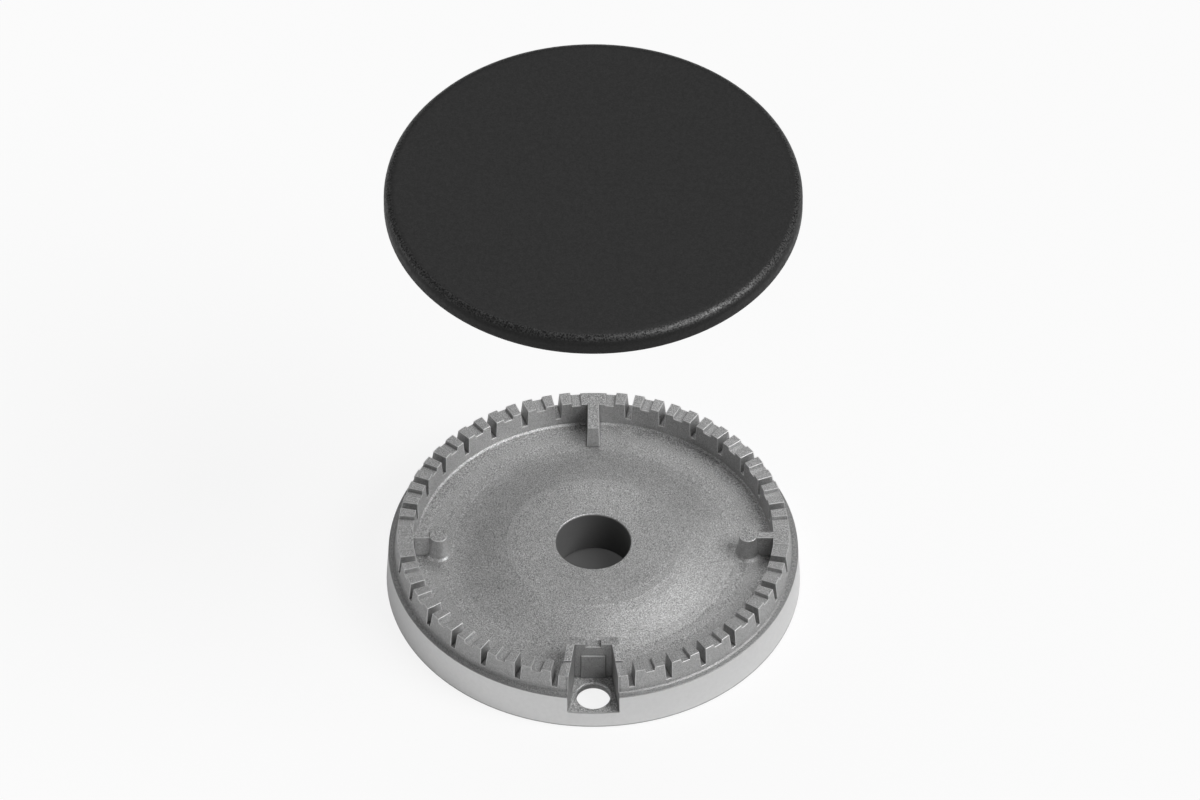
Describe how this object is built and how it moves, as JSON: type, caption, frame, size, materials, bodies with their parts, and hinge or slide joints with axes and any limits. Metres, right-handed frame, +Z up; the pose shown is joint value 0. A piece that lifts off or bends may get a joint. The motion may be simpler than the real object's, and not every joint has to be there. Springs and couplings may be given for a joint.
{
  "type": "gas hob burner",
  "caption": "Gas hob burner: a cast aluminium head with a castellated flame-port crown and an igniter pocket, and a loose round black enamelled cap that lifts off.",
  "frame": {"origin": "centre of the skirt's foot, on the surface that the head stands on", "axes": "+Z up along the axis of the mixing-tube bore; the igniter pocket faces -Y; +X to the right"},
  "size_m": [0.1, 0.1, 0.1343],
  "materials": {
    "cast_aluminium": "blasted casting with a turned skirt",
    "black_enamel": "matt enamel"
  },
  "bodies": {
    "burner_head": {"burner_head": "cast_aluminium"},
    "burner_cap": {"burner_cap": "black_enamel"}
  },
  "joints": [
    {"name": "cap_lift", "type": "slide", "parent": "burner_head", "child": "burner_cap", "axis": [0, 0, 1], "range_m": [-0.113, 0]}
  ]
}
